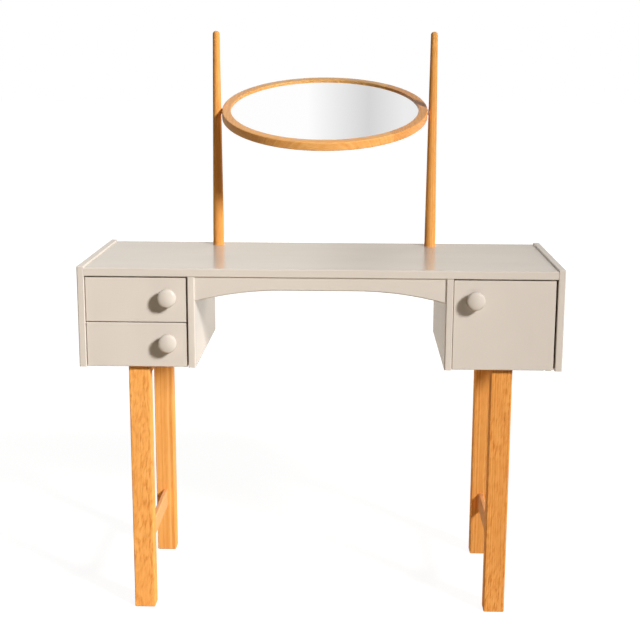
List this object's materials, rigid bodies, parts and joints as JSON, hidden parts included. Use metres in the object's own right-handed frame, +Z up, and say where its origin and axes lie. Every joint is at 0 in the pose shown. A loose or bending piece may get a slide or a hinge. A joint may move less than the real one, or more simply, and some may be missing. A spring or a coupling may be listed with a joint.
{
  "type": "dressing table",
  "caption": "Dressing table: painted cabinet with drawers, a cupboard and an arched kneehole on oak leg frames, and a round mirror that tilts between tapered posts.",
  "frame": {"origin": "on the floor, under the middle of the part's box", "axes": "+Z up, +X along the width towards the door, +Y from the fronts towards the back"},
  "size_m": [1, 0.5886, 1.2315],
  "materials": {
    "painted_wood": "satin warm greige paint with faint brush marks",
    "oak": "honey oak, satin clear coat",
    "birch": "plain pale wood, matt",
    "hardboard": "brown pressed board, matt",
    "brushed_steel": "zinc-plated steel",
    "brass": "plain brass",
    "matte_plastic": "pale nylon",
    "mirror": "silvered glass"
  },
  "bodies": {
    "table": {"apron": "painted_wood", "door_catch": "matte_plastic", "frame_screws": "brushed_steel", "left_back": "painted_wood", "left_base": "painted_wood", "left_front_leg": "oak", "left_partition": "painted_wood", "left_post": "oak", "left_rear_leg": "oak", "left_side": "painted_wood", "left_stretcher": "oak", "left_top_rail": "oak", "lower_hinge_plate": "brass", "lower_inner_runner": "birch", "lower_outer_runner": "birch", "rear_rail": "painted_wood", "right_back": "painted_wood", "right_base": "painted_wood", "right_front_leg": "oak", "right_partition": "painted_wood", "right_post": "oak", "right_rear_leg": "oak", "right_side": "painted_wood", "right_stretcher": "oak", "right_top_rail": "oak", "small_screws": "brushed_steel", "top": "painted_wood", "upper_hinge_plate": "brass", "upper_inner_runner": "birch", "upper_outer_runner": "birch"},
    "upper_drawer": {"upper_drawer_back": "birch", "upper_drawer_bottom": "birch", "upper_drawer_front": "painted_wood", "upper_drawer_knob": "painted_wood", "upper_drawer_knob_screw": "brushed_steel", "upper_drawer_left_side": "birch", "upper_drawer_right_side": "birch"},
    "lower_drawer": {"lower_drawer_back": "birch", "lower_drawer_bottom": "birch", "lower_drawer_front": "painted_wood", "lower_drawer_knob": "painted_wood", "lower_drawer_knob_screw": "brushed_steel", "lower_drawer_left_side": "birch", "lower_drawer_right_side": "birch"},
    "door": {"door": "painted_wood", "door_knob": "painted_wood", "door_knob_screw": "brushed_steel", "hinge_bushes": "brass", "strike_plate": "brushed_steel", "strike_screw": "brushed_steel"},
    "mirror": {"backing_pins": "brushed_steel", "mirror_backing": "hardboard", "mirror_glass": "mirror", "mirror_ring_back": "oak", "mirror_ring_front": "oak", "mirror_ring_left": "oak", "mirror_ring_right": "oak", "pivot_pins": "brushed_steel", "pivot_washers": "matte_plastic"}
  },
  "joints": [
    {"name": "upper_drawer_slide", "type": "slide", "parent": "table", "child": "upper_drawer", "axis": [0, -1, 0], "range_m": [0, 0.26]},
    {"name": "lower_drawer_slide", "type": "slide", "parent": "table", "child": "lower_drawer", "axis": [0, -1, 0], "range_m": [0, 0.26]},
    {"name": "door_hinge", "type": "hinge", "parent": "table", "child": "door", "pos_m": [0.4723, -0.26126, 0.63805], "axis": [0, 0, 1], "range_deg": [0, 100]},
    {"name": "mirror_tilt", "type": "hinge", "parent": "table", "child": "mirror", "pos_m": [0, 0.07025, 1.055], "axis": [1, 0, 0], "continuous": true}
  ]
}
